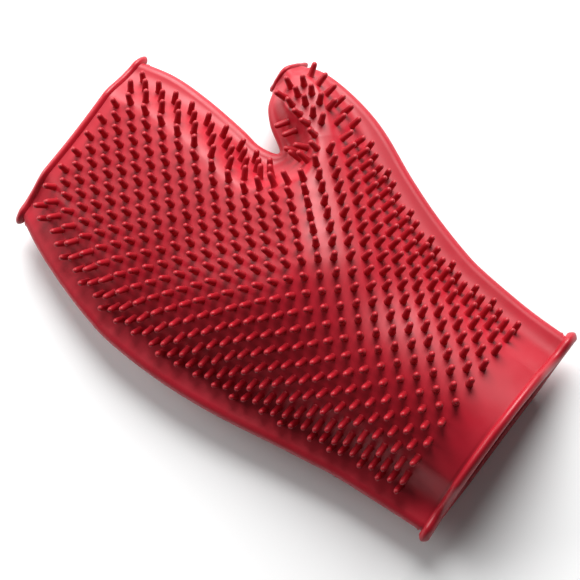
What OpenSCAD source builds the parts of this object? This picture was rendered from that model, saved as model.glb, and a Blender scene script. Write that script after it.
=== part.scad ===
// Grooming glove: a right-hand rubber mitt with a pin field over the whole palm side.
// It lies on its back: +Z out of the palm along the pins, +Y to the fingertips, +X to the thumb.

/* [Wall] */
// Thickness of the moulded rubber wall
wall_t = 1.8; // [1.6:0.1:2.4]
// Height of the parting line, where palm and back walls meet, above the resting face
seam_z = 16; // [14:0.5:18]
// Radius of the rounded roll along both sides
roll_r = 4; // [3.5:0.1:4.5]
// Scale of the palm's relief above the side rolls
relief = 1; // [0.6:0.05:1.15]

/* [Rims] */
// Radius of the bead round the cuff
cuff_bead_r = 2.2; // [1.8:0.1:2.6]
// Radius of the bead round the finger opening
finger_bead_r = 2; // [1.6:0.1:2.4]
// Radius of the bead round the thumb opening
thumb_bead_r = 1.5; // [1.3:0.1:1.8]
// How far the beads stand out at the two corners of an opening
ear_out = 1.6; // [0:0.1:2]

/* [Pins] */
// Spacing of the pins along one row, measured on the rubber
pin_pitch = 9.6; // [9:0.1:12]
// Distance between neighbouring rows, which are staggered by half a pitch
row_pitch = 4.85; // [4.5:0.05:6]
// Free length of a pin
pin_len = 7.2; // [5:0.1:9]
// Diameter of a pin just above its foot
pin_d = 2.9; // [2.2:0.1:3.2]
// Diameter of a pin at its rounded tip
pin_tip_d = 2.3; // [1.8:0.1:2.6]
// Smallest distance from a pin to a side of the glove
pin_margin = 10.5; // [9:0.1:14]

/* [Hidden] */

rubber = [0.78, 0.05, 0.04];

// Side outlines in plan. Each list starts at the cuff, and its knots are where the rows of the
// walls change from one section to the next: cuff, wrist band, hand, knuckle band, fingers.
little_side = [
    [-63, -118], [-64.4, -98], [-66.5, -73], [-68.6, -60], [-72, -40], [-75.7, -20],
    [-78.5, 0], [-80, 22], [-79.6, 46], [-77.4, 60.9], [-72.6, 80], [-66, 100], [-58, 118]
];
thumb_side = [
    [42.8, -119], [43.3, -98], [45.8, -73], [48.4, -60], [54.6, -40], [62.6, -20],
    [72, 0], [76.8, 14], [79.8, 30], [80.2, 43], [77, 52.8]
];
// From the finger opening down to the crotch and up to the thumb opening
crotch_side = [
    [35.6, 118], [39, 100], [38.8, 80], [36.5, 58], [34.6, 46], [37.3, 37],
    [45, 48.2], [52, 54.8], [61.2, 57.6]
];
crotch_knot = 5.2;

// Knots of little_side and thumb_side at which sections start
wrist_knot = 2;
hand_knot = 3;
crotch_row_knot = 7.35;
knuckle_knot = 8;
finger_knot = 9;
tip_knot = 12;
thumb_root_knot = 6;
thumb_knot = 7;
thumb_tip_knot = 10;
crotch_knuckle = 4;
crotch_finger = 3;
crotch_thumb = 6;

// The line in plan where the palm's columns part between the fingers and the thumb
part_low = [3, -58.8];
// and its slant across the arm, with how far it runs ahead of the sides at each knot
part_slant = 0.03;
part_lead = 0.4;

// Rounded side roll and flat flange: angles round the roll, then plain distances inboard
roll_angles = [0, 30, 60, 90];
flange_w = 9;
// and on a short row, the most of its length that one flange takes
flange_share = 0.33;

// Palm relief: the arm-to-finger limb, at stations along Y
limb_y = [-124, -60, -10, 45, 124];
limb_x = [-11, -13, -11, -13, -14];
limb_w_little = [52, 51, 57, 64, 62];
limb_w_thumb = [52, 60, 76, 74, 72];
limb_h = [25, 28.5, 29, 17, 8];
limb_fullness = [2, 2, 2, 3, 3.5];
// and the thumb limb, from the thumb tip to the heel of the hand
thumb_axis = [[76, 56], [46, 25], [6, -18]];
thumb_limb_w = [38, 34, 44];
thumb_limb_h = [5.5, 18, 22];
// The relief rises from the flange over this much of the way inboard, and faster near the thumb tip
ramp_start = [2, 5];
palm_ramp_w = [5.5, 20];
back_ramp_w = [5.5, 30];
back_rise = [5, seam_z - roll_r];
thumb_reach = 55;
// Within this distance of the thumb opening the rolls grow taller, to this many times their radius
mouth_round = [1.7, 16];

function catmull(P, k, t) =
    let (n = len(P) - 1,
         a = k > 0 ? P[k - 1] : 2 * P[0] - P[1],
         b = P[k],
         c = P[min(k + 1, n)],
         d = k + 2 <= n ? P[k + 2] : 2 * P[n] - P[n - 1])
    (2 * b + (c - a) * t + (2 * a - 5 * b + 4 * c - d) * t * t
        + (3 * b - a - 3 * c + d) * t * t * t) / 2;
function along(P, s) =
    let (k = min(floor(s), len(P) - 2))
    catmull(P, k, s - k);
function unit(v) = v / norm(v);
// Inward normal of a side outline: side is 1 where the rubber lies to the right of its direction
knot_step = 0.02;
function inward(P, s, side) =
    let (t = unit(along(P, min(s + knot_step, len(P) - 1)) - along(P, max(s - knot_step, 0))))
    side * [t.y, -t.x];

// Distance to the side outlines, and the same with the corners between them rounded off
steps = 4;
function sampled(P) = [for (i = [0:(len(P) - 1) * steps]) along(P, i / steps)];
little_line = sampled(little_side);
thumb_line = sampled(thumb_side);
crotch_line = sampled(crotch_side);
thumb_mouth = [along(crotch_side, len(crotch_side) - 1), along(thumb_side, thumb_tip_knot)];
function to_segment(p, a, b) =
    let (ab = b - a, t = max(0, min(1, (p - a) * ab / (ab * ab))))
    norm(p - a - t * ab);
function to_line(p, Q) = min([for (i = [0:len(Q) - 2]) to_segment(p, Q[i], Q[i + 1])]);
blend_k = 0.35;
function side_distance(p) =
    let (a = to_line(p, little_line), b = to_line(p, thumb_line), c = to_line(p, crotch_line))
    [min(a, b, c), a, b, c];
function smooth_distance(D) =
    D[0] - ln(exp(blend_k * (D[0] - D[1])) + exp(blend_k * (D[0] - D[2]))
        + exp(blend_k * (D[0] - D[3]))) / blend_k;

function mix(V, t) = V[0] + (V[1] - V[0]) * t;
function smoothstep(t) =
    let (u = max(0, min(1, t)))
    u * u * (3 - 2 * u);
// Value at y of a list given at the limb's stations, with eased steps between them
function at_station(V, y) =
    let (k = y < limb_y[1] ? 0 : y < limb_y[2] ? 1 : y < limb_y[3] ? 2 : 3,
         t = (y - limb_y[k]) / (limb_y[k + 1] - limb_y[k]))
    V[k] + (V[k + 1] - V[k]) * (0.5 * smoothstep(t) + 0.5 * max(0, min(1, t)));
function dome(t, n = 2) = abs(t) >= 1 ? 0 : pow(1 - pow(abs(t), n), 1.5);
function limb_height(p) =
    let (x = p.x - at_station(limb_x, p.y),
         w = at_station(x < 0 ? limb_w_little : limb_w_thumb, p.y))
    at_station(limb_h, p.y) * dome(x / w, at_station(limb_fullness, p.y));
function thumb_limb_part(p, k) =
    let (a = thumb_axis[k], ab = thumb_axis[k + 1] - a,
         t = max(0, min(1, (p - a) * ab / (ab * ab))))
    [norm(p - a - t * ab),
     thumb_limb_w[k] * (1 - t) + thumb_limb_w[k + 1] * t,
     thumb_limb_h[k] * (1 - t) + thumb_limb_h[k + 1] * t];
function thumb_limb_height(p) =
    let (u = thumb_limb_part(p, 0), v = thumb_limb_part(p, 1), w = u[0] < v[0] ? u : v)
    w[2] * dome(w[0] / w[1]);

// Height of the outer surface above (palm) or below (back) the parting line
function roll_height(d) = d >= roll_r ? roll_r : sqrt(pow(roll_r, 2) - pow(roll_r - d, 2));
function to_mouth(p) = to_segment(p, thumb_mouth[0], thumb_mouth[1]);
function off_mouth(p) = smoothstep(to_mouth(p) / thumb_reach);
function roundness(p) =
    mix([mouth_round[0], 1], smoothstep(to_mouth(p) / mouth_round[1]));
function ramp(g, s, w) = smoothstep((s - mix(ramp_start, g)) / mix(w, g));
// The two limbs run into one another; the small term keeps the slope finite where both are zero
least_cube = 0.001;
function limbs(p) =
    pow(pow(limb_height(p), 3) + pow(thumb_limb_height(p), 3) + least_cube, 1 / 3);
// What the relief adds to the rolls' height
function rise(p, D, up) =
    let (g = off_mouth(p), swell = up > 0 ? relief * limbs(p) : mix(back_rise, g))
    ramp(g, smooth_distance(D), up > 0 ? palm_ramp_w : back_ramp_w)
        * (swell - (roundness(p) - 1) * roll_r);
function height(p, up) =
    let (D = side_distance(p))
    roundness(p) * roll_height(D[0]) + rise(p, D, up);
probe = 0.5;
function surface_normal(p, up, e = probe) =
    let (hx = (height(p + [e, 0], up) - height(p - [e, 0], up)) / (2 * e),
         hy = (height(p + [0, e], up) - height(p - [0, e], up)) / (2 * e))
    unit([-hx, -hy, 1]);
function rise_at(p, up) = rise(p, side_distance(p), up);
function rise_slope(p, up) =
    [rise_at(p + [probe, 0], up) - rise_at(p - [probe, 0], up),
     rise_at(p + [0, probe], up) - rise_at(p - [0, probe], up)] / (2 * probe);

// A wall point is [outer point, inner point, outward normal]; up is 1 for palm, -1 for back
function wall_point(p, n, h, up) =
    let (q = [p.x, p.y, seam_z + up * h], m = [n.x, n.y, up * n.z])
    [q, q - wall_t * m, m];
// Plan direction in which a row leaves a side: square to it, or turned along the row by turn.
// However far it turns, its step off the side is stretched no more than this allows
least_cross = 0.8;
function leave(P, s, side, row, turn) =
    let (n = inward(P, s, side), d = unit(n + turn * (row - n)))
    d / max(d * n, least_cross);
function roll_points(P, s, side, up, row, turn) =
    let (e = along(P, s), k = roundness(e), n = k * inward(P, s, side),
         d = leave(P, s, side, row, turn))
    [for (a = roll_angles)
        let (p = e + d * roll_r * (1 - cos(a)), g = rise_slope(p, up) * sin(a))
        wall_point(p, unit([-n.x * cos(a) - g.x, -n.y * cos(a) - g.y, sin(a)]),
            k * roll_r * sin(a) + rise_at(p, up), up)];
function flange_point(P, s, side, row = [0, 0], turn = 0, w = flange_w) =
    along(P, s) + leave(P, s, side, row, turn) * w;
function field_points(a, b, n, first, last, up, bulge = 0) =
    [for (i = [first:last])
        let (t = i / n, p = a + (b - a) * t + [0, 4 * bulge * t * (1 - t)])
        wall_point(p, surface_normal(p, up), height(p, up), up)];
function reversed(L) = [for (i = [len(L) - 1:-1:0]) L[i]];

little_columns = 7;
thumb_columns = 5;
// How far the finger opening bows in at the middle of its end rows
tip_bulge = -1.8;
// One row of wall points from side A over the point m to side B
function row_over(A, sa, m, B, sb, side_b, up) =
    let (a = flange_point(A, sa, 1), b = flange_point(B, sb, side_b))
    concat(roll_points(A, sa, 1, up, [1, 0], 0),
        field_points(a, m, little_columns, 0, little_columns, up),
        field_points(m, b, thumb_columns, 1, thumb_columns, up),
        reversed(roll_points(B, sb, side_b, up, [-1, 0], 0)));
// One row straight from side A to side B. Near an opening its ends turn along the row
function row_between(A, sa, B, sb, side_a, side_b, n, up, turn = 0, bulge = 0) =
    let (ab = along(B, sb) - along(A, sa), r = unit(ab),
         w = min(flange_w, flange_share * norm(ab)),
         a = flange_point(A, sa, side_a, r, turn, w),
         b = flange_point(B, sb, side_b, -r, turn, w))
    concat(roll_points(A, sa, side_a, up, r, turn), field_points(a, b, n, 0, n, up, bulge),
        reversed(roll_points(B, sb, side_b, up, -r, turn)));

crotch_top = flange_point(crotch_side, crotch_knot, 1);
function part_point(s) = part_low + (crotch_top - part_low) * s;
// Rows by section: s runs from 0 at the section's cuff end to 1 at its far end
function arm_row(ka, kb, s, up) =
    let (k = ka + (kb - ka) * s, y = along(little_side, k).y + part_lead * k,
         m = [part_low.x - part_slant * (part_low.y - y), y])
    row_over(little_side, k, m, thumb_side, k, -1, up);
function hand_row(s, up) =
    row_over(little_side, hand_knot + (crotch_row_knot - hand_knot) * s, part_point(s),
        thumb_side, hand_knot + (thumb_root_knot - hand_knot) * s, -1, up);
function finger_row(kl, kc, up, turn = 0) =
    row_between(little_side, kl, crotch_side, kc, 1, 1, little_columns, up, turn,
        tip_bulge * turn);
function thumb_row(kc, kt, up, turn = 0) =
    row_between(crotch_side, kc, thumb_side, kt, 1, -1, thumb_columns, up, turn);

arm_rows = 5;
band_rows = 2;
hand_rows = 9;
finger_rows = 5;
thumb_rows = 4;
function cuff_grid(up) =
    [for (i = [0:arm_rows]) arm_row(0, wrist_knot, i / arm_rows, up)];
function wrist_grid(up) =
    [for (i = [0:band_rows]) arm_row(wrist_knot, hand_knot, i / band_rows, up)];
function hand_grid(up) = [for (i = [0:hand_rows]) hand_row(i / hand_rows, up)];
function root_grid(up) =
    [for (i = [0:band_rows]) let (s = i / band_rows)
        finger_row(crotch_row_knot + (knuckle_knot - crotch_row_knot) * s,
            crotch_knot + (crotch_knuckle - crotch_knot) * s, up)];
function knuckle_grid(up) =
    [for (i = [0:band_rows]) let (s = i / band_rows)
        finger_row(knuckle_knot + (finger_knot - knuckle_knot) * s,
            crotch_knuckle + (crotch_finger - crotch_knuckle) * s, up)];
function finger_grid(up) =
    [for (i = [0:finger_rows]) let (s = i / finger_rows)
        finger_row(finger_knot + (tip_knot - finger_knot) * s, crotch_finger * (1 - s), up,
            s * s)];
function thumb_band_grid(up) =
    [for (i = [0:band_rows]) let (s = i / band_rows)
        thumb_row(crotch_knot + (crotch_thumb - crotch_knot) * s,
            thumb_root_knot + (thumb_knot - thumb_root_knot) * s, up)];
function thumb_grid(up) =
    [for (i = [0:thumb_rows]) let (s = i / thumb_rows)
        thumb_row(crotch_thumb + (len(crotch_side) - 1 - crotch_thumb) * s,
            thumb_knot + (thumb_tip_knot - thumb_knot) * s, up, s * s)];

// Triangles of a grid's outer and inner skins, and of the strip that closes one open edge
function skin(G, k, flip) =
    [for (i = [0:len(G) - 2]) for (j = [0:len(G[0]) - 2])
        let (a = G[i][j][k], b = G[i][j + 1][k], c = G[i + 1][j + 1][k], d = G[i + 1][j][k])
        each flip ? [[a, b, c], [a, c, d]] : [[a, c, b], [a, d, c]]];
function strip(E, flip) =
    [for (i = [0:len(E) - 2])
        let (a = E[i][0], b = E[i + 1][0], c = E[i + 1][1], d = E[i][1])
        each flip ? [[a, c, b], [a, d, c]] : [[a, b, c], [a, c, d]]];
function column(G, j) = [for (row = G) row[j]];
function part_of(row, a, b) = [for (i = [a:b]) row[i]];
function last(L) = L[len(L) - 1];
function grid_sides(G, flip) =
    concat(strip(column(G, 0), !flip), strip(column(G, len(G[0]) - 1), flip));
function grid_skins(G, flip) = concat(skin(G, 0, flip), skin(G, 1, !flip));
module triangles(T) {
    polyhedron(points = [for (t = T) each t],
        faces = [for (i = [0:len(T) - 1]) [3 * i, 3 * i + 1, 3 * i + 2]]);
}
module wall(G, up) {
    flip = up < 0;
    triangles(concat(grid_skins(G, flip), grid_sides(G, flip), strip(G[0], flip),
        strip(last(G), !flip)));
}
first_thumb = len(roll_angles) + little_columns;
module hand_wall(up) {
    flip = up < 0;
    G = hand_grid(up);
    R = root_grid(up);
    n = len(G[0]) - 1;
    m = len(R[0]) - 1;
    triangles(concat(grid_skins(G, flip), grid_sides(G, flip), strip(G[0], flip),
        strip(part_of(last(G), first_thumb, n), !flip),
        grid_skins(R, flip), grid_sides(R, flip), strip(last(R), !flip),
        strip(part_of(R[0], first_thumb, m), flip)));
}

// Bead round an opening: a tube along the walls' end rows, with ears at the two corners
bead_sides = 8;
// and its centre ahead of the end row by this share of its radius
bead_ahead = 0.4;
function bead_loop(palm, back) = concat(palm, part_of(reversed(back), 1, len(back) - 2));
function bead_ring(w, r, dir) =
    let (m = unit(w[2] - (w[2] * dir) * dir),
         out = max(0, 1 - abs(w[0].z - seam_z) / roll_r),
         q = w[0] + m * (ear_out * pow(out, 2) - wall_t / 2) + dir * r * bead_ahead,
         c = [q.x, q.y, max(q.z, r)])
    [for (i = [0:bead_sides - 1])
        let (a = 360 * i / bead_sides)
        c + r * (cos(a) * m + sin(a) * dir)];
module bead(palm, back, r, dir, flip) {
    rings = [for (w = bead_loop(palm, back)) bead_ring(w, r, dir)];
    n = len(rings);
    triangles([for (i = [0:n - 1]) for (j = [0:bead_sides - 1])
        let (k = (i + 1) % n, l = (j + 1) % bead_sides,
            a = rings[i][j], b = rings[k][j], c = rings[k][l], d = rings[i][l])
        each flip ? [[a, c, b], [a, d, c]] : [[a, b, c], [a, c, d]]]);
}

// Pins: rows across the glove, staggered, each stepped along the rubber from the limb's crest
pin_sink = 1.1;
module pin() {
    cylinder(h = pin_sink + pin_len, d1 = pin_d + 0.4, d2 = pin_tip_d, $fn = 16);
}
// Pins stand square to the rubber round them, averaged over this much to either side
pin_probe = 2.5;
function pin_normal(p) = surface_normal(p, 1, pin_probe);
module pin_at(p) {
    n = pin_normal(p);
    q = [p.x, p.y, seam_z + height(p, 1)] - n * pin_sink;
    translate(q)
        rotate([0, acos(n.z), atan2(n.y, n.x)])
            pin();
}
// On a steep flank a step keeps at least this share of the pitch in plan
least_step = 0.55;
widest_x = 80;
function walk_x(p, step, limit) =
    step * p.x > step * limit ? [] :
    let (q = [p.x + step * pin_pitch * max(least_step, pin_normal(p).z), p.y])
    concat([p], walk_x(q, step, limit));
function row_of_pins(y, odd) =
    let (start = [at_station(limb_x, y) + (odd ? pin_pitch / 2 : 0), y])
    concat(walk_x(start, 1, widest_x),
        walk_x(start - [pin_pitch * pin_normal(start).z, 0], -1, -widest_x));
row_low = -98.5;
row_high = 112.5;
rows = floor((row_high - row_low) / row_pitch);
function row_y(i) = row_low + i * row_pitch;

// Pins come closer to the thumb's outer side, by this much, over this stretch of Y
thumb_margin_cut = 5.5;
thumb_cut_y = [10, 50];
// Smallest distance from a pin to the crotch side and to the thumb opening
crotch_margin = 8;
mouth_margin = 6.5;
// The bare web below the crotch, as a line in plan and the distance kept from it
web = [[37, 37], [30, 22.5]];
web_margin = 6.8;

// True inside the palm outline, clear of the sides, the crotch and the two openings
function crossings(p, Q) =
    [for (i = [0:len(Q) - 2])
        let (a = Q[i], b = Q[i + 1])
        if ((a.y > p.y) != (b.y > p.y))
            if (p.x < a.x + (b.x - a.x) * (p.y - a.y) / (b.y - a.y)) 1];
outline = concat(little_line, crotch_line, reversed(thumb_line), [little_line[0]]);
function inside(p) = len(crossings(p, outline)) % 2 == 1;
function covered(p) =
    let (D = side_distance(p),
         on_tip = smoothstep((p.y - thumb_cut_y[0]) / (thumb_cut_y[1] - thumb_cut_y[0])))
    inside(p) && D[1] > pin_margin && D[2] > pin_margin - thumb_margin_cut * on_tip
        && D[3] > crotch_margin && to_mouth(p) > mouth_margin
        && to_segment(p, web[0], web[1]) > web_margin;

// Sections in plan: which piece of wall a pin stands on
thumb_root = [crotch_top, along(thumb_side, thumb_root_knot)];
thumb_joint = [along(crotch_side, crotch_thumb), flange_point(crotch_side, crotch_thumb, 1),
    flange_point(thumb_side, thumb_knot, -1), along(thumb_side, thumb_knot)];
function across(L) = unit([L[0].y - L[1].y, L[1].x - L[0].x]);
function past_line(p, L) = (p - L[0]) * across(L);
function joint_part(p) =
    let (D = [for (i = [0:2]) to_segment(p, thumb_joint[i], thumb_joint[i + 1])],
         i = D[0] < min(D[1], D[2]) ? 0 : D[1] < D[2] ? 1 : 2)
    [thumb_joint[i], thumb_joint[i + 1]];
function past_joint(p) = past_line(p, joint_part(p));
crotch_slack = 1;
function past_root(p, d) =
    past_line(p, thumb_root) > d && p.x > crotch_top.x - crotch_slack;
function on_thumb(p) = past_root(p, 0);
// The ball of the thumb lies past a slanting line, given by its X at Y zero and its slope
thenar_line = [24, -0.25];
heel_top = -12;
function zone(p) =
    on_thumb(p) ? (past_joint(p) > 0 ? "thumb" : "thumb_band") :
    p.y < little_side[wrist_knot].y ? "cuff" :
    p.y < little_side[hand_knot].y ? "wrist_band" :
    p.y > little_side[finger_knot].y ? "finger" :
    p.y > little_side[knuckle_knot].y ? "knuckle_band" :
    p.x > thenar_line[0] + thenar_line[1] * p.y ? "thenar" :
    p.y < heel_top ? "heel" : "palm";
// A few pins on each rigid section's crest, spread out, are nodes of their own that touch things
contact_spots = [
    [-40, -92], [-11, -92], [18, -92], [-12, -80],
    [-34, -40], [5, -30], [-30, 10], [20, 0],
    [-50, 80], [-8, 70], [28, 80], [-12, 105],
    [60, 34], [68, 46], [75, 38], [72, 28]
];
contact_reach = 3.7;
function is_contact(p) = min([for (c = contact_spots) norm(p - c)]) < contact_reach;
// Pins that would stand across the line between the thumb and its band move off it
joint_margin = 2.4;
function off_joint(p) =
    let (d = past_joint(p))
    !on_thumb(p) || abs(d) >= joint_margin ? p :
    p + ((d < 0 ? -1 : 1) * joint_margin - d) * across(joint_part(p));
// The thumb has rows of its own, square to its length and half a pitch off its joint. Their pitch
// is given along and across the thumb, and the palm's rows end short of them by the gap
thumb_pin_pitch = [5.2, 6.3];
thumb_pin_gap = 2.8;
thumb_pin_rows = [for (i = [-4:4]) for (j = [0:8])
    let (o = thumb_joint[0], v = unit(last(thumb_joint) - o), u = [-v.y, v.x])
    o + u * (i + 0.5) * thumb_pin_pitch[0] + v * (j + (i % 2 == 0 ? 0 : 0.5)) * thumb_pin_pitch[1]];
all_pins = concat(
    [for (i = [0:rows]) for (p = row_of_pins(row_y(i), i % 2 == 1))
        if (covered(p) && !past_root(p, -thumb_pin_gap)) p],
    [for (p = thumb_pin_rows) if (covered(p) && on_thumb(p)) off_joint(p)]);
function one_of(list, v) = len([for (x = list) if (x == v) x]) > 0;
module pins(zones, contact = false) {
    for (p = all_pins)
        if (is_contact(p) == contact && one_of(zones, zone(p)))
            pin_at(p);
}
module cuff_pins() { color(rubber) pins(["cuff"]); }
module wrist_band_pins() { color(rubber) pins(["wrist_band"]); }
module heel_pins() { color(rubber) pins(["heel"]); }
module palm_pins() { color(rubber) pins(["palm"]); }
module thenar_pins() { color(rubber) pins(["thenar"]); }
module knuckle_band_pins() { color(rubber) pins(["knuckle_band"]); }
module finger_pins() { color(rubber) pins(["finger"]); }
module thumb_band_pins() { color(rubber) pins(["thumb_band"]); }
module thumb_pins() { color(rubber) pins(["thumb"]); }
module cuff_contact_pins() { color(rubber) pins(["cuff"], true); }
module finger_contact_pins() { color(rubber) pins(["finger"], true); }
module thumb_contact_pins() { color(rubber) pins(["thumb"], true); }
module hand_contact_pins() { color(rubber) pins(["heel", "palm", "thenar"], true); }
module hand_palm_wall() { color(rubber) hand_wall(1); }
module hand_back_wall() { color(rubber) hand_wall(-1); }
module cuff_palm_wall() { color(rubber) wall(cuff_grid(1), 1); }
module cuff_back_wall() { color(rubber) wall(cuff_grid(-1), -1); }
module finger_palm_wall() { color(rubber) wall(finger_grid(1), 1); }
module finger_back_wall() { color(rubber) wall(finger_grid(-1), -1); }
module thumb_palm_wall() { color(rubber) wall(thumb_grid(1), 1); }
module thumb_back_wall() { color(rubber) wall(thumb_grid(-1), -1); }
module wrist_band_palm() { color(rubber) wall(wrist_grid(1), 1); }
module wrist_band_back() { color(rubber) wall(wrist_grid(-1), -1); }
module knuckle_band_palm() { color(rubber) wall(knuckle_grid(1), 1); }
module knuckle_band_back() { color(rubber) wall(knuckle_grid(-1), -1); }
module thumb_band_palm() { color(rubber) wall(thumb_band_grid(1), 1); }
module thumb_band_back() { color(rubber) wall(thumb_band_grid(-1), -1); }
module cuff_rim() {
    color(rubber)
        bead(cuff_grid(1)[0], cuff_grid(-1)[0], cuff_bead_r, [0, -1, 0], false);
}
module finger_opening_rim() {
    color(rubber)
        bead(last(finger_grid(1)), last(finger_grid(-1)), finger_bead_r, [0, 1, 0], true);
}
thumb_dir = unit([thumb_mouth[0].y - thumb_mouth[1].y, thumb_mouth[1].x - thumb_mouth[0].x]);
module thumb_opening_rim() {
    color(rubber)
        bead(last(thumb_grid(1)), last(thumb_grid(-1)), thumb_bead_r,
            [thumb_dir.x, thumb_dir.y, 0], true);
}
hand_palm_wall();
hand_back_wall();
cuff_palm_wall();
cuff_back_wall();
cuff_rim();
finger_palm_wall();
finger_back_wall();
finger_opening_rim();
thumb_palm_wall();
thumb_back_wall();
thumb_opening_rim();
wrist_band_palm();
wrist_band_back();
knuckle_band_palm();
knuckle_band_back();
thumb_band_palm();
thumb_band_back();
cuff_pins();
wrist_band_pins();
heel_pins();
palm_pins();
thenar_pins();
knuckle_band_pins();
finger_pins();
thumb_band_pins();
thumb_pins();
hand_contact_pins();
cuff_contact_pins();
finger_contact_pins();
thumb_contact_pins();
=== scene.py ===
import math

import bpy
import numpy as np
from mathutils import Matrix, Vector


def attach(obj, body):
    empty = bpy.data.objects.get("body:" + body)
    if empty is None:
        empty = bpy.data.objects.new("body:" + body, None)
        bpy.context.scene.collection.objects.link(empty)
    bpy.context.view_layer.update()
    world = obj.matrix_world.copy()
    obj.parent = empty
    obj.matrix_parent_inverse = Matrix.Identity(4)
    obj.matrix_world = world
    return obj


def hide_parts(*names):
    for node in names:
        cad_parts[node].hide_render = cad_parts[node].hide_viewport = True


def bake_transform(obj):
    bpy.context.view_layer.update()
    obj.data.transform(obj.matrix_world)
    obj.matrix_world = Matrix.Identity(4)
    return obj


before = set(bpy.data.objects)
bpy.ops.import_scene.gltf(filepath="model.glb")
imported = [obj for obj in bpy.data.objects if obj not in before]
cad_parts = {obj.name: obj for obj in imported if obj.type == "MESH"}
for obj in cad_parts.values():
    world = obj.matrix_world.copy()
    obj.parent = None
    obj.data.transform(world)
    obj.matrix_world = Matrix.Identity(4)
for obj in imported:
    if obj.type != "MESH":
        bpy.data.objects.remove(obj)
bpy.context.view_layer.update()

MM = 0.001

# The glove's own design, in millimetres, as in the CAD model: +X thumb side, +Y fingers, +Z pins.
WALL = 1.8
SEAM_Z = 16.0
ROLL_R = 4.0
FLANGE = 9.0
# The most of a row's width that one of its flanges takes
FLANGE_SHARE = 0.33
# The least part of a row's direction that is square to its outline
LEAST_CROSS = 0.8

# Knots of the side outlines, and which of them the rows between the sections pass through
LITTLE_SIDE = np.array([
    (-63, -118), (-64.4, -98), (-66.5, -73), (-68.6, -60), (-72, -40), (-75.7, -20),
    (-78.5, 0), (-80, 22), (-79.6, 46), (-77.4, 60.9), (-72.6, 80), (-66, 100), (-58, 118),
], float)
THUMB_SIDE = np.array([
    (42.8, -119), (43.3, -98), (45.8, -73), (48.4, -60), (54.6, -40), (62.6, -20),
    (72, 0), (76.8, 14), (79.8, 30), (80.2, 43), (77, 52.8),
], float)
CROTCH_SIDE = np.array([
    (35.6, 118), (39, 100), (38.8, 80), (36.5, 58), (34.6, 46), (37.3, 37),
    (45, 48.2), (52, 54.8), (61.2, 57.6),
], float)
WRIST, HAND, CROTCH_ROW, KNUCKLE, FINGER, TIP = 2, 3, 7.35, 8, 9, 12
THUMB_ROOT, THUMB, THUMB_TIP = 6, 7, 10
CROTCH, CROTCH_KNUCKLE, CROTCH_FINGER, CROTCH_THUMB, CROTCH_TIP = 5.2, 4, 3, 6, 8
# Where the hand's rows fork: at the bottom of the crotch, and on the thumb side
FORK_CROTCH, FORK_THUMB = 4.96, 5.9
PART_LOW = np.array((3.0, -58.8))
PART_SLANT, PART_LEAD = 0.03, 0.4
KNOT_STEP = 0.02

# The palm's two limbs, arm to fingers by stations in Y, and the thumb's by the points of its axis
LIMB_Y = (-124, -60, -10, 45, 124)
LIMB_X = (-11, -13, -11, -13, -14)
LIMB_W_LITTLE = (52, 51, 57, 64, 62)
LIMB_W_THUMB = (52, 60, 76, 74, 72)
LIMB_H = (25, 28.5, 29, 17, 8)
LIMB_FULLNESS = (2, 2, 2, 3, 3.5)
THUMB_AXIS = np.array([(76, 56), (46, 25), (6, -18)], float)
THUMB_W = (38, 34, 44)
THUMB_H = (5.5, 18, 22)
LEAST_CUBE = 0.001
# How the walls rise from the side rolls: each pair is at the thumb opening and away from it
RAMP_START = (2, 5)
PALM_RAMP = (5.5, 20)
BACK_RAMP = (5.5, 30)
BACK_RISE = (5, SEAM_Z - ROLL_R)
THUMB_REACH = 55.0
# How much taller the rolls are at the thumb opening, and how far from it that fades out
MOUTH_ROUND = (1.7, 16.0)
TIP_BULGE = -1.8
# How sharply the nearest side takes over, and half the width that a slope is measured across
SHARPNESS = 0.35
PROBE = 0.5


# ---- plan: the side outlines and distances to them -------------------------------------------
def along(knots, s):
    """Points of the smooth curve through knots at parameters s, where knot k is at s = k."""
    s = np.atleast_1d(np.asarray(s, float))
    n = len(knots) - 1
    k = np.clip(np.floor(s).astype(int), 0, n - 1)
    t = (s - k)[:, None]
    ends = np.vstack([2 * knots[0] - knots[1], knots, 2 * knots[-1] - knots[-2]])
    a, b, c, d = ends[k], ends[k + 1], ends[k + 2], ends[k + 3]
    return (2 * b + (c - a) * t + (2 * a - 5 * b + 4 * c - d) * t**2
            + (3 * b - a - 3 * c + d) * t**3) / 2


def unit(v):
    return v / np.linalg.norm(v, axis=-1, keepdims=True)


def inward(knots, s, side):
    """The direction square to an outline at knot s, to its right (side 1) or left (side -1)."""
    top = len(knots) - 1
    t = unit((along(knots, min(s + KNOT_STEP, top)) - along(knots, max(s - KNOT_STEP, 0)))[0])
    return side * np.array((t[1], -t[0]))


def to_segments(p, a, b):
    """Distances from points p to every segment from a to b."""
    ab, ap = b - a, p[..., None, :] - a
    t = np.clip((ap * ab).sum(-1) / (ab * ab).sum(-1), 0, 1)
    return np.linalg.norm(ap - t[..., None] * ab, axis=-1)


def to_line(p, line):
    return to_segments(p, line[:-1], line[1:]).min(-1)


def to_segment(p, a, b):
    return to_line(p, np.array((a, b)))


def sampled(knots, steps=4):
    return along(knots, np.arange((len(knots) - 1) * steps + 1) / steps)


LITTLE_LINE, THUMB_LINE, CROTCH_LINE = map(sampled, (LITTLE_SIDE, THUMB_SIDE, CROTCH_SIDE))
MOUTH = (along(CROTCH_SIDE, CROTCH_TIP)[0], along(THUMB_SIDE, THUMB_TIP)[0])


def side_distances(p):
    """Distances to the little side, the thumb side and the crotch side."""
    return np.stack([to_line(p, q) for q in (LITTLE_LINE, THUMB_LINE, CROTCH_LINE)])


def smooth_distance(d):
    """The least of the distances, rounded off where two sides are equally near."""
    near = d.min(0)
    return near - np.log(np.exp(SHARPNESS * (near - d)).sum(0)) / SHARPNESS


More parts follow.
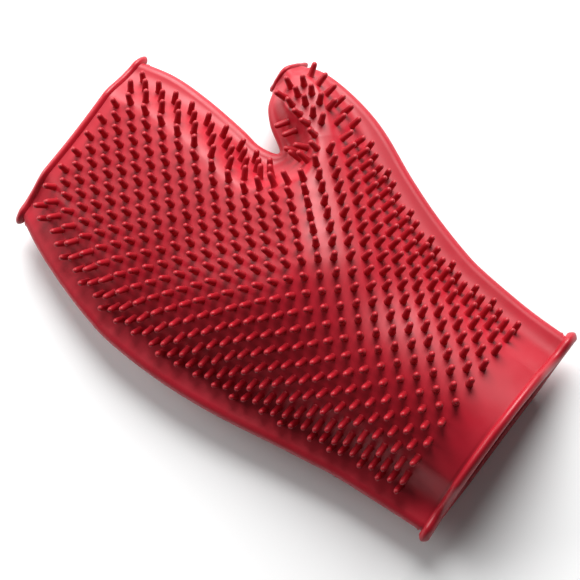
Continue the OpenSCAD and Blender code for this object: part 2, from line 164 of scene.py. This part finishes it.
# ---- relief of the palm and the back ----------------------------------------------------------
def smoothstep(t):
    u = np.clip(t, 0, 1)
    return u * u * (3 - 2 * u)


def mix(pair, t):
    return pair[0] + (pair[1] - pair[0]) * t


def at_station(values, y):
    """A limb's value at y, eased half way between its stations."""
    values, stations = np.asarray(values, float), np.asarray(LIMB_Y, float)
    k = np.clip(np.searchsorted(stations, y, side="right") - 1, 0, len(stations) - 2)
    t = (y - stations[k]) / (stations[k + 1] - stations[k])
    eased = 0.5 * smoothstep(t) + 0.5 * np.clip(t, 0, 1)
    return values[k] + (values[k + 1] - values[k]) * eased


def dome(t, n=2.0):
    return np.clip(1 - np.clip(np.abs(t), 0, 1) ** n, 0, 1) ** 1.5


def limb_height(p):
    x = p[..., 0] - at_station(LIMB_X, p[..., 1])
    w = np.where(x < 0, at_station(LIMB_W_LITTLE, p[..., 1]), at_station(LIMB_W_THUMB, p[..., 1]))
    return at_station(LIMB_H, p[..., 1]) * dome(x / w, at_station(LIMB_FULLNESS, p[..., 1]))


def thumb_height(p):
    near, height = np.full(p.shape[:-1], 1e9), np.zeros(p.shape[:-1])
    for k in (0, 1):
        a, b = THUMB_AXIS[k], THUMB_AXIS[k + 1]
        t = np.clip(((p - a) @ (b - a)) / ((b - a) @ (b - a)), 0, 1)
        d = np.linalg.norm(p - a - t[..., None] * (b - a), axis=-1)
        h = mix(THUMB_H[k:k + 2], t) * dome(d / mix(THUMB_W[k:k + 2], t))
        height = np.where(d < near, h, height)
        near = np.minimum(near, d)
    return height


def roundness(p):
    """How many times taller than its radius a side roll is, near the thumb opening."""
    return mix((MOUTH_ROUND[0], 1), smoothstep(to_segment(p, *MOUTH) / MOUTH_ROUND[1]))


def rise(p, d, up):
    """What the palm's limbs (up = 1) or the back (up = -1) add to the side rolls' height."""
    g = smoothstep(to_segment(p, *MOUTH) / THUMB_REACH)
    if up > 0:
        swell = (limb_height(p) ** 3 + thumb_height(p) ** 3 + LEAST_CUBE) ** (1 / 3)
    else:
        swell = mix(BACK_RISE, g)
    width = mix(PALM_RAMP if up > 0 else BACK_RAMP, g)
    inboard = smoothstep((smooth_distance(d) - mix(RAMP_START, g)) / width)
    return inboard * (swell - (roundness(p) - 1) * ROLL_R)


def surface_height(p, up):
    """Height of the outer surface from the parting line, towards the pins (up = 1) or the back."""
    d = side_distances(p)
    in_roll = np.clip(ROLL_R - d.min(0), 0, ROLL_R)
    return roundness(p) * np.sqrt(ROLL_R**2 - in_roll**2) + rise(p, d, up)


def rise_at(p, up):
    return rise(p, side_distances(p), up)


def slope(f, p, up, reach):
    dx, dy = np.array((reach, 0)), np.array((0, reach))
    rises = [f(p + dx, up) - f(p - dx, up), f(p + dy, up) - f(p - dy, up)]
    return np.stack(rises, -1) / (2 * reach)


def surface_normal(p, up, reach=PROBE):
    g = slope(surface_height, p, up, reach)
    return unit(np.concatenate([-g, np.ones_like(g[..., :1])], -1))


# ---- walls: rows of points from side to side --------------------------------------------------
ROLL_ANGLES = np.radians(np.linspace(0, 90, 9))
FLANGE_STEPS = 4
LITTLE_COLUMNS, THUMB_COLUMNS = 56, 40


def leave(knots, s, side, row, turn):
    """How a row leaves an outline: square to it, or turned towards the row's own direction."""
    n = inward(knots, s, side)
    d = unit(n + turn * (row - n))
    return d / max(d @ n, LEAST_CROSS)


def flange_point(knots, s, side, row=np.zeros(2), turn=0.0, width=FLANGE):
    return along(knots, s)[0] + leave(knots, s, side, row, turn) * width


def edge_points(knots, s, side, row, turn, width=FLANGE):
    """Plan points of one rounded edge, the roll and then the flange, and the roll's direction."""
    e, d = along(knots, s)[0], leave(knots, s, side, row, turn)
    steps = np.concatenate([ROLL_R * (1 - np.cos(ROLL_ANGLES)),
                            np.linspace(ROLL_R, width, FLANGE_STEPS + 1)[1:]])
    return e + np.outer(steps, d), roundness(e) * inward(knots, s, side)


def make_row(left, right, middle):
    """A row's plan points from side to side, with the inward directions of its two rolls."""
    (a, in_a), (b, in_b) = edge_points(*left), edge_points(*right)
    return np.vstack([a, middle, b[::-1]]), in_a, in_b


def straight(a, b, n, bulge=0.0):
    """The points that cut a to b into n steps, bulging towards +Y in the middle."""
    t = (np.arange(1, n) / n)[:, None]
    return a + (b - a) * t + np.array((0, 4 * bulge)) * t * (1 - t)


def row_over(sa, middle, sb):
    """A row from the little side to the thumb side, by way of a middle point."""
    a, b = flange_point(LITTLE_SIDE, sa, 1), flange_point(THUMB_SIDE, sb, -1)
    points = np.vstack([straight(a, middle, LITTLE_COLUMNS), middle[None],
                        straight(middle, b, THUMB_COLUMNS)])
    none = np.zeros(2)
    return make_row((LITTLE_SIDE, sa, 1, none, 0), (THUMB_SIDE, sb, -1, none, 0), points)


def row_between(A, sa, side_a, B, sb, side_b, n, turn, bulge):
    """A row from outline A to B; turn 0 leaves them squarely, turn 1 in its own direction."""
    ab = along(B, sb)[0] - along(A, sa)[0]
    r, width = unit(ab), min(FLANGE, FLANGE_SHARE * np.linalg.norm(ab))
    left, right = (A, sa, side_a, r, turn, width), (B, sb, side_b, -r, turn, width)
    middle = straight(flange_point(*left), flange_point(*right), n, bulge * turn)
    return make_row(left, right, middle)


CROTCH_TOP = flange_point(CROTCH_SIDE, CROTCH, 1)
FORK = flange_point(CROTCH_SIDE, FORK_CROTCH, 1)


def arm_row(ka, kb, s):
    k = ka + (kb - ka) * s
    y = along(LITTLE_SIDE, k)[0][1] + PART_LEAD * k
    return row_over(k, np.array((PART_LOW[0] - PART_SLANT * (PART_LOW[1] - y), y)), k)


def hand_row(s):
    middle = PART_LOW + (FORK - PART_LOW) * s
    return row_over(mix((HAND, CROTCH_ROW), s), middle, mix((HAND, FORK_THUMB), s))


def finger_row(kl, kc, turn=0.0):
    return row_between(LITTLE_SIDE, kl, 1, CROTCH_SIDE, kc, 1, LITTLE_COLUMNS, turn, TIP_BULGE)


def thumb_row(kc, kt, turn=0.0):
    return row_between(CROTCH_SIDE, kc, 1, THUMB_SIDE, kt, -1, THUMB_COLUMNS, turn, 0.0)


def even(n):
    return np.linspace(0, 1, n + 1)


MOUTH_ROWS, MOUTH_ROW_GAP = 14, 0.45


def to_mouth(n, length):
    """Row parameters that end in close rows over the last 6 mm before an opening."""
    near = 1 - np.arange(MOUTH_ROWS, -1, -1) * MOUTH_ROW_GAP / length
    return np.concatenate([np.linspace(0, near[0], n + 1)[:-1], near])


MOUTH_LENGTH = {"cuff": 45.0, "finger": 58.0, "thumb": 24.0}
ROOT_CROWDING = 1.8
# Each section's rows, and how far each is from the opening as a share of the section's length
SECTIONS = {
    "cuff": [(1 - s, arm_row(0, WRIST, 1 - s)) for s in to_mouth(30, MOUTH_LENGTH["cuff"])][::-1],
    "wrist": [(None, arm_row(WRIST, HAND, s)) for s in even(10)],
    "hand": [(None, hand_row(s)) for s in even(72)],
    # From the fork to the knuckle line, and to the thumb's root
    "root": [(None, finger_row(mix((CROTCH_ROW, KNUCKLE), s),
                               mix((FORK_CROTCH, CROTCH_KNUCKLE), s)))
             for s in even(28) ** ROOT_CROWDING],
    "web": [(None, thumb_row(mix((FORK_CROTCH, CROTCH), s), mix((FORK_THUMB, THUMB_ROOT), s)))
            for s in even(8)],
    "knuckle": [(None, finger_row(mix((KNUCKLE, FINGER), s),
                                  mix((CROTCH_KNUCKLE, CROTCH_FINGER), s))) for s in even(10)],
    "finger": [(1 - s, finger_row(mix((FINGER, TIP), s), CROTCH_FINGER * (1 - s), s * s))
               for s in to_mouth(36, MOUTH_LENGTH["finger"])],
    "thumb_band": [(None, thumb_row(mix((CROTCH, CROTCH_THUMB), s), mix((THUMB_ROOT, THUMB), s)))
                   for s in even(12)],
    "thumb": [(1 - s, thumb_row(mix((CROTCH_THUMB, CROTCH_TIP), s), mix((THUMB, THUMB_TIP), s),
                                s * s)) for s in to_mouth(22, MOUTH_LENGTH["thumb"])],
}
# Beside each opening: height, distance from it and width
RIDGE, GROOVE = (0.32, 3.5, 0.7), (-0.3, 2.3, 0.5)


def bump(t, middle, width):
    u = (t - middle) / width
    return np.exp(-u * u)


def wall_grid(section, up):
    """Outer and inner points and outward normals of a section's wall, as (rows, columns, 3)."""
    rows = SECTIONS[section]
    plan = np.stack([r[1][0] for r in rows])
    height, normal = surface_height(plan, up), surface_normal(plan, up)
    roll = slice(0, len(ROLL_ANGLES))
    c, s = np.cos(ROLL_ANGLES)[:, None], np.sin(ROLL_ANGLES)[:, None]
    for end, order in ((1, 1), (2, -1)):
        p = plan[:, ::order][:, roll]
        n = np.stack([r[1][end] for r in rows])[:, None]
        g = slope(rise_at, p, up, PROBE) * s
        roll_n = unit(np.concatenate([-n * c - g, np.broadcast_to(s, g.shape[:2] + (1,))], -1))
        normal[:, ::order][:, roll] = roll_n
        height[:, ::order][:, roll] = (np.linalg.norm(n, axis=-1) * ROLL_R * s[:, 0]
                                       + rise_at(p, up))
    m = normal * np.array((1, 1, up))
    outer = np.dstack([plan, SEAM_Z + up * height])
    inner = outer - WALL * m
    if section in MOUTH_LENGTH:
        v = np.array([r[0] for r in rows]) * MOUTH_LENGTH[section]
        raised = sum(h * bump(v, middle, width) for h, middle, width in (RIDGE, GROOVE))
        outer = outer + raised[:, None, None] * m
    return outer, inner, m


# ---- mesh building ------------------------------------------------------------------------------
def grid_faces(index, flip):
    a, b, c, d = index[:-1, :-1], index[:-1, 1:], index[1:, 1:], index[1:, :-1]
    quads = np.stack([a, d, c, b] if flip else [a, b, c, d], -1)
    return quads.reshape(-1, 4)


def mesh_object(name, points, faces, normals=None):
    """A mesh object from points in millimetres, with its normals given where they are known."""
    mesh = bpy.data.meshes.new(name)
    mesh.from_pydata((np.asarray(points) * MM).tolist(), [], faces)
    mesh.update()
    mesh.polygons.foreach_set("use_smooth", [True] * len(mesh.polygons))
    if normals is not None:
        mesh.normals_split_custom_set_from_vertices(np.asarray(normals).tolist())
    piece = bpy.data.objects.new(name, mesh)
    bpy.context.scene.collection.objects.link(piece)
    return piece


def place(piece, body, material, slot, *nodes):
    piece.data.materials.append(material)
    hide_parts(*nodes)
    if body is not None:
        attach(piece, body)
    return piece


def wall(name, sections, up):
    """A closed thick wall over one section, or over several that share their edges."""
    grids = [wall_grid(section, up) for section in sections]
    faces, count = [], 0
    for outer, _, _ in grids:
        size = outer.shape[0] * outer.shape[1]
        faces.append(grid_faces(count + np.arange(size).reshape(outer.shape[:2]), up < 0))
        count += size
    outer, inner, m = (np.vstack([g[k].reshape(-1, 3) for g in grids]) for k in range(3))
    _, kept, same = np.unique(outer.round(3), axis=0, return_index=True, return_inverse=True)
    outer, inner, m = outer[kept], inner[kept], m[kept]
    skin = same.reshape(-1)[np.vstack(faces)]
    edges = {(a, b) for quad in skin.tolist() for a, b in zip(quad, quad[1:] + quad[:1])}
    n = len(outer)
    border = [(b, a, a + n, b + n) for a, b in sorted(edges) if (b, a) not in edges]
    closed = skin.tolist() + (skin[:, ::-1] + n).tolist() + border
    return mesh_object(name, np.vstack([outer, inner]), closed, np.vstack([m, -m]))


BEAD_SIDES = 24
# In bead radii: how far ahead of the row its middle stands, and the least height of its middle
BEAD_AHEAD = 0.4
BEAD_LIFT = 1.08
# How far the ears stand out, in millimetres, and how much thicker they are than the bead
EAR_OUT, EAR_SWELL = 1.9, 0.10
SQUARENESS = 0.05
# The parting line pressed into a bead: depth, where it runs round the bead, and width, in radians
PARTING = (0.10, 4.35, 0.22)


def rim(name, section, radius, direction, flip):
    """A bead round an opening: a tube along both walls' end rows, with ears at its corners."""
    row = 0 if section == "cuff" else -1
    loops = []
    for up in (1, -1):
        _, inner, m = wall_grid(section, up)
        loops.append((inner[row] + WALL * m[row], m[row]))
    (pa, ma), (pb, mb) = loops
    w = np.vstack([pa, pb[::-1][1:-1]])
    m = np.vstack([ma, mb[::-1][1:-1]])
    direction = np.asarray(direction, float)
    m = unit(m - (m @ direction)[:, None] * direction)
    out = np.clip(1 - np.abs(w[:, 2:] - SEAM_Z) / ROLL_R, 0, 1)
    centre = w + m * (EAR_OUT * out**2 - WALL / 2) + direction * radius * BEAD_AHEAD
    centre[:, 2] = np.maximum(centre[:, 2], BEAD_LIFT * radius)
    a = np.linspace(0, 2 * np.pi, BEAD_SIDES, endpoint=False)
    section_r = 1 + SQUARENESS * np.cos(4 * a) - PARTING[0] * bump(a, *PARTING[1:])
    r = radius * (1 + EAR_SWELL * out**3) * section_r
    ring = (centre[:, None] + (r * np.cos(a))[..., None] * m[:, None]
            + (r * np.sin(a))[..., None] * direction)
    n, k = ring.shape[:2]
    index = np.arange(n * k).reshape(n, k)
    index = np.vstack([index, index[:1]])
    index = np.hstack([index, index[:, :1]])
    return mesh_object(name, ring.reshape(-1, 3), grid_faces(index, flip).tolist())


# ---- pins: staggered rows across the palm side --------------------------------------------------
PIN_PITCH, ROW_PITCH = 9.6, 4.85
ROW_LOW, ROW_HIGH = -98.5, 112.5
# The pins nearest to these spots are the ones that collide in the CAD model
CONTACT_SPOTS = np.array([
    (-40, -92), (-11, -92), (18, -92), (-12, -80), (-34, -40), (5, -30), (-30, 10), (20, 0),
    (-50, 80), (-8, 70), (28, 80), (-12, 105), (60, 34), (68, 46), (75, 38), (72, 28),
], float)
CONTACT_REACH = 3.7
# The thumb's own rows: their pitch and the pins' in them, how many, and the gap to the palm's pins
THUMB_PITCH = (5.2, 6.3)
THUMB_ROWS, THUMB_ROW_PINS = range(-4, 5), range(9)
THUMB_PIN_GAP = 2.8
JOINT_MARGIN = 2.4
WIDEST_X, LEAST_STEP = 80, 0.55
# Radius and height above the rubber, from the flared foot to the rounded tip
PIN_PROFILE = np.array([
    (1.95, -0.9), (1.80, 0.0), (1.66, 0.2), (1.58, 0.55), (1.53, 1.2), (1.48, 2.6), (1.43, 4.2),
    (1.38, 5.3), (1.32, 5.9), (1.19, 6.4), (0.98, 6.78), (0.67, 7.05), (0.34, 7.19), (0.0, 7.24),
])
PIN_SIDES = 14
PIN_PROBE = 2.5
# Up to this height a pin stands square to the rubber, and above it each one leans a little
FOOT_TOP = 0.5
LEAN_SPREAD, LENGTH_SPREAD = 0.016, 0.012
# The bare web below the crotch
WEB = np.array([(37, 37), (30, 22.5)])
# How far pins keep from the sides, less on the thumb side past the thumb, and from the rest
PIN_MARGIN, THUMB_MARGIN_CUT, THUMB_CUT_Y = 10.5, 5.5, (10, 50)
CROTCH_MARGIN, MOUTH_MARGIN, WEB_MARGIN = 8, 6.5, 6.8
CROTCH_SLACK = 1
THENAR_LINE, HEEL_TOP = (24, -0.25), -12


def inside(p):
    """True for a point inside the palm's outline."""
    q = np.vstack([LITTLE_LINE, CROTCH_LINE, THUMB_LINE[::-1], LITTLE_LINE[:1]])
    a, b = q[:-1], q[1:]
    spans = (a[:, 1] > p[1]) != (b[:, 1] > p[1])
    a, b = a[spans], b[spans]
    crossings = a[:, 0] + (b[:, 0] - a[:, 0]) * (p[1] - a[:, 1]) / (b[:, 1] - a[:, 1])
    return np.sum(p[0] < crossings) % 2 == 1


def covered(p):
    """True where the rubber has pins."""
    little_d, thumb_d, crotch_d = side_distances(p)
    on_tip = smoothstep((p[1] - THUMB_CUT_Y[0]) / (THUMB_CUT_Y[1] - THUMB_CUT_Y[0]))
    return (inside(p) and little_d > PIN_MARGIN
            and thumb_d > PIN_MARGIN - THUMB_MARGIN_CUT * on_tip and crotch_d > CROTCH_MARGIN
            and to_segment(p, *MOUTH) > MOUTH_MARGIN and to_segment(p, *WEB) > WEB_MARGIN)


THUMB_ROOT_LINE = (CROTCH_TOP, along(THUMB_SIDE, THUMB_ROOT)[0])
# The thumb band's far edge, by way of its two flanges
THUMB_JOINT = (along(CROTCH_SIDE, CROTCH_THUMB)[0], flange_point(CROTCH_SIDE, CROTCH_THUMB, 1),
               flange_point(THUMB_SIDE, THUMB, -1), along(THUMB_SIDE, THUMB)[0])


def line_normal(line):
    return unit(np.array((line[0][1] - line[1][1], line[1][0] - line[0][0])))


def past_line(p, line):
    return (p - line[0]) @ line_normal(line)


def joint_part(p):
    """The part of the thumb band's far edge that is nearest to p."""
    parts = list(zip(THUMB_JOINT[:-1], THUMB_JOINT[1:]))
    return min(parts, key=lambda q: to_segment(p, *q))


def on_thumb(p, margin=0.0):
    past_root = past_line(p, THUMB_ROOT_LINE) > -margin
    return past_root and p[0] > CROTCH_TOP[0] - CROTCH_SLACK


def zone(p):
    """Which piece of wall a pin stands on, by the CAD's own names."""
    if on_thumb(p):
        return "thumb" if past_line(p, joint_part(p)) > 0 else "thumb_band"
    for name, knot, above in (("cuff", WRIST, False), ("wrist_band", HAND, False),
                              ("finger", FINGER, True), ("knuckle_band", KNUCKLE, True)):
        if (p[1] > LITTLE_SIDE[knot][1]) == above:
            return name
    if p[0] > THENAR_LINE[0] + THENAR_LINE[1] * p[1]:
        return "thenar"
    return "heel" if p[1] < HEEL_TOP else "palm"


def off_joint(p):
    """A thumb pin's spot, moved clear of the edge between the thumb band and the thumb."""
    part = joint_part(p)
    d = past_line(p, part)
    if not on_thumb(p) or abs(d) >= JOINT_MARGIN:
        return p
    return p + (math.copysign(JOINT_MARGIN, d) - d) * line_normal(part)


def walk(p, step):
    """Points along one row, a pin pitch apart on the rubber, from p to past the outline."""
    points = []
    while abs(p[0]) < WIDEST_X:
        points.append(p)
        n = surface_normal(p, 1, PIN_PROBE)
        p = p + np.array((step * PIN_PITCH * max(LEAST_STEP, n[2]), 0))
    return points


def thumb_rows():
    """The thumb's own rows of pins, square to its length and half a pitch off its joint."""
    o, v = THUMB_JOINT[0], unit(THUMB_JOINT[-1] - THUMB_JOINT[0])
    u = np.array((-v[1], v[0]))
    for i in THUMB_ROWS:
        for j in THUMB_ROW_PINS:
            p = o + u * (i + 0.5) * THUMB_PITCH[0] + v * (j + 0.5 * (i % 2)) * THUMB_PITCH[1]
            if covered(p) and on_thumb(p):
                yield off_joint(p)


def palm_rows():
    """The palm's rows of pins, cuff to fingers, every other one half a pitch aside."""
    for i in range(int((ROW_HIGH - ROW_LOW) / ROW_PITCH) + 1):
        y = ROW_LOW + i * ROW_PITCH
        start = np.array((float(at_station(LIMB_X, y)) + (PIN_PITCH / 2 if i % 2 else 0), y))
        first_left = start - np.array((PIN_PITCH * surface_normal(start, 1, PIN_PROBE)[2], 0))
        for p in walk(start, 1) + walk(first_left, -1):
            if covered(p) and not on_thumb(p, THUMB_PIN_GAP):
                yield p


def all_pins():
    """Every pin's spot, by the CAD's own names for the groups."""
    groups = {}
    for p in (*palm_rows(), *thumb_rows()):
        where = zone(p)
        if np.linalg.norm(CONTACT_SPOTS - p, axis=1).min() < CONTACT_REACH:
            where = ("hand" if where in ("heel", "palm", "thenar") else where) + "_contact"
        groups.setdefault(where + "_pins", []).append(p)
    return groups


def pin_mesh(name, spots, seed):
    """One mesh of moulded pins on the rubber, each a touch different in lean and length."""
    rng = np.random.default_rng(seed)
    a = np.linspace(0, 2 * np.pi, PIN_SIDES, endpoint=False)
    rings = len(PIN_PROFILE) - 1
    points, faces = [], []
    for p in spots:
        n = surface_normal(p, 1, PIN_PROBE)
        foot = np.array((*p, SEAM_Z + float(surface_height(p, 1))))
        lean = unit(n + rng.normal(0, LEAN_SPREAD, 3))
        u = unit(np.cross(n, (0, 1, 0)))
        v = np.cross(n, u)
        length, base = rng.normal(1, LENGTH_SPREAD), len(points)
        for r, h in PIN_PROFILE[:-1]:
            axis = n * h if h < FOOT_TOP else n * FOOT_TOP + lean * (h * length - FOOT_TOP)
            points += list(foot + axis + r * (np.cos(a)[:, None] * u + np.sin(a)[:, None] * v))
        points.append(foot + n * FOOT_TOP + lean * (PIN_PROFILE[-1][1] * length - FOOT_TOP))
        for k in range(rings - 1):
            for j in range(PIN_SIDES):
                q, l = base + k * PIN_SIDES, (j + 1) % PIN_SIDES
                faces.append((q + j, q + l, q + PIN_SIDES + l, q + PIN_SIDES + j))
        top = base + (rings - 1) * PIN_SIDES
        faces += [(top + j, top + (j + 1) % PIN_SIDES, len(points) - 1) for j in range(PIN_SIDES)]
        faces.append(tuple(base + j for j in range(PIN_SIDES))[::-1])
    return mesh_object(name, points, faces)


# ---- materials ----------------------------------------------------------------------------------
# Scale and detail of the noise behind the mottled colour and behind the dulled patches
MOTTLE, DULLED = (38, 3), (90, 4)
# The least share of the full colour, and how far the roughness goes up and down
LEAST_COLOUR = 0.25
DULLER, GLOSSIER = 0.06, 0.05
IOR, SPECULAR = 1.5, 0.40
SHEEN, SHEEN_ROUGHNESS, SHEEN_TINT = 0.05, 0.35, (1, 0.8, 0.82, 1)
# Strength and distance of the coarse grain's bump and of the fine one's
COARSE_BUMP, FINE_BUMP = (0.10, 0.0003), (0.16, 0.00008)
GRAIN_DETAIL = 2


def set_inputs(node, **values):
    for key, value in values.items():
        node.inputs[key.replace("_", " ")].default_value = value


def rubber(name, colour, dark, roughness, grain, fine):
    """Moulded rubber: a mottled colour, dust-dulled patches and a fine moulded grain."""
    m = bpy.data.materials.new(name)
    m.use_nodes = True
    nodes, links = m.node_tree.nodes, m.node_tree.links
    shader = nodes["Principled BSDF"]
    where = nodes.new("ShaderNodeTexCoord").outputs["Object"]

    def noise(scale, detail):
        n = nodes.new("ShaderNodeTexNoise")
        set_inputs(n, Scale=scale, Detail=detail, Roughness=0.5)
        links.new(where, n.inputs["Vector"])
        return n.outputs["Fac"]

    def span(value, low, high):
        """A noise's middle part, spread from low to high."""
        n = nodes.new("ShaderNodeMapRange")
        set_inputs(n, From_Min=0.35, From_Max=0.65, To_Min=low, To_Max=high)
        links.new(value, n.inputs["Value"])
        return n.outputs["Result"]

    blend = nodes.new("ShaderNodeMix")
    blend.data_type = "RGBA"
    set_inputs(blend, A=(*dark, 1), B=(*colour, 1))
    links.new(span(noise(*MOTTLE), LEAST_COLOUR, 1.0), blend.inputs["Factor"])
    links.new(blend.outputs["Result"], shader.inputs["Base Color"])
    links.new(span(noise(*DULLED), roughness - GLOSSIER, roughness + DULLER),
              shader.inputs["Roughness"])
    set_inputs(shader, IOR=IOR, Specular_IOR_Level=SPECULAR, Sheen_Weight=SHEEN,
               Sheen_Roughness=SHEEN_ROUGHNESS, Sheen_Tint=SHEEN_TINT)
    last = None
    for scale, (strength, distance) in ((grain, COARSE_BUMP), (fine, FINE_BUMP)):
        b = nodes.new("ShaderNodeBump")
        set_inputs(b, Strength=strength, Distance=distance)
        links.new(noise(scale, GRAIN_DETAIL), b.inputs["Height"])
        if last is not None:
            links.new(last, b.inputs["Normal"])
        last = b.outputs["Normal"]
    links.new(last, shader.inputs["Normal"])
    return m


WALL_RUBBER = rubber("wall_rubber", (0.44, 0.009, 0.024), (0.38, 0.006, 0.017), 0.44, 160, 2600)
BEAD_RUBBER = rubber("bead_rubber", (0.42, 0.008, 0.021), (0.36, 0.005, 0.015), 0.36, 220, 3000)
PIN_RUBBER = rubber("pin_rubber", (0.42, 0.007, 0.018), (0.36, 0.005, 0.013), 0.46, 400, 3600)


# ---- the glove ----------------------------------------------------------------------------------
def bend_range(section, origin, direction):
    """Start and end of a band's bend, between which both of its edges keep to their neighbours."""
    edges = [(SECTIONS[section][k][1][0] - origin) @ direction for k in (0, -1)]
    near, far = sorted(edges, key=np.max)
    return [tuple(np.append(origin + s * direction, SEAM_Z) * MM) for s in (near.max(), far.min())]


NO_SHIFT, AHEAD = np.zeros(2), np.array((0.0, 1.0))
BEND = {
    "wrist": ("cuff", bend_range("wrist", NO_SHIFT, -AHEAD)),
    "knuckle": ("fingers", bend_range("knuckle", NO_SHIFT, AHEAD)),
    "thumb_band": ("thumb", bend_range("thumb_band", THUMB_ROOT_LINE[0],
                                       line_normal(THUMB_ROOT_LINE))),
}


def bent(piece, key):
    body, (start, end) = BEND[key]
    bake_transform(piece)
    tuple(start)
    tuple(end)


for side, up in (("palm", 1), ("back", -1)):
    for node, sections, body in (("hand", ("hand", "root", "web"), "hand"),
                                 ("cuff", ("cuff",), "cuff"),
                                 ("finger", ("finger",), "fingers"),
                                 ("thumb", ("thumb",), "thumb")):
        name = f"{node}_{side}_wall"
        place(wall(f"{node}_{side}_skin", sections, up), body, WALL_RUBBER, "wall_rubber", name)
    for section, node in (("wrist", "wrist_band"), ("knuckle", "knuckle_band"),
                          ("thumb_band", "thumb_band")):
        piece = place(wall(f"{node}_{side}_skin", (section,), up), None, WALL_RUBBER,
                      "wall_rubber", f"{node}_{side}")
        bent(piece, section)

for name, section, radius, direction, flip, body in (
        ("cuff_rim", "cuff", 2.2, (0, -1, 0), False, "cuff"),
        ("finger_opening_rim", "finger", 2.0, (0, 1, 0), True, "fingers"),
        ("thumb_opening_rim", "thumb", 1.5, (*line_normal(MOUTH), 0), True, "thumb")):
    place(rim(name.replace("rim", "bead"), section, radius, direction, flip), body,
          BEAD_RUBBER, "bead_rubber", name)

PIN_BODIES = {"cuff": "cuff", "finger": "fingers", "thumb": "thumb"}
PIN_BANDS = {"wrist_band_pins": "wrist", "knuckle_band_pins": "knuckle",
             "thumb_band_pins": "thumb_band"}
for seed, (group, spots) in enumerate(sorted(all_pins().items())):
    piece = pin_mesh(group.replace("_pins", "_bristles"), spots, seed)
    body = None if group in PIN_BANDS else PIN_BODIES.get(group.split("_")[0], "hand")
    place(piece, body, PIN_RUBBER, "pin_rubber", group)
    if body is None:
        bent(piece, PIN_BANDS[group])


# ---- floor, light and camera, in metres ---------------------------------------------------------
FLOOR_HALF = 3.0
MIDDLE = (0, 0, 0.02)
TURN, ELEVATION, ROLL = math.radians(20), math.radians(76), math.radians(33.7)
SENSOR, LENS = 36, 85.0
AIM, DISTANCE = (-0.0115, -0.006, 0.016), 0.62


def floor():
    m = bpy.data.materials.new("floor_paper")
    m.use_nodes = True
    set_inputs(m.node_tree.nodes["Principled BSDF"], Base_Color=(0.95, 0.95, 0.95, 1),
               Roughness=0.9, Specular_IOR_Level=0.1)
    mesh = bpy.data.meshes.new("floor")
    s = FLOOR_HALF
    mesh.from_pydata([(-s, -s, 0), (s, -s, 0), (s, s, 0), (-s, s, 0)], [], [(0, 1, 2, 3)])
    mesh.materials.append(m)
    piece = bpy.data.objects.new("floor", mesh)
    bpy.context.scene.collection.objects.link(piece)


def area_light(name, where, size, power):
    """A white round light that faces the glove's middle."""
    data = bpy.data.lights.new(name, "AREA")
    data.shape, data.size, data.energy = "DISK", size, power
    light = bpy.data.objects.new(name, data)
    light.location = where
    light.rotation_euler = (Vector(MIDDLE) - Vector(where)).to_track_quat("-Z", "Y").to_euler()
    bpy.context.scene.collection.objects.link(light)


floor()
world = bpy.data.worlds.new("studio")
world.use_nodes = True
set_inputs(world.node_tree.nodes["Background"], Color=(1, 1, 1, 1), Strength=0.10)
bpy.context.scene.world = world
bpy.context.scene.view_settings.view_transform = "Standard"
area_light("key", where=(0.82, 0.48, 0.76), size=1.0, power=31)
area_light("fingers", where=(-0.20, 1.05, 0.50), size=0.7, power=8)


def camera():
    """The photo's view: from above, turned about the glove and rolled."""
    ahead = Vector((math.sin(TURN), math.cos(TURN), 0))
    forward = math.cos(ELEVATION) * ahead + math.sin(ELEVATION) * Vector((0, 0, -1))
    right = Vector((ahead.y, -ahead.x, 0))
    up = right.cross(forward)
    r = math.cos(ROLL) * right - math.sin(ROLL) * up
    u = math.sin(ROLL) * right + math.cos(ROLL) * up
    data = bpy.data.cameras.new("camera")
    data.sensor_width, data.lens = SENSOR, LENS
    view = bpy.data.objects.new("camera", data)
    rotation = Matrix((r, u, -forward)).transposed().to_4x4()
    view.matrix_world = Matrix.Translation(Vector(AIM) - DISTANCE * forward) @ rotation
    bpy.context.scene.collection.objects.link(view)
    bpy.context.scene.camera = view


camera()
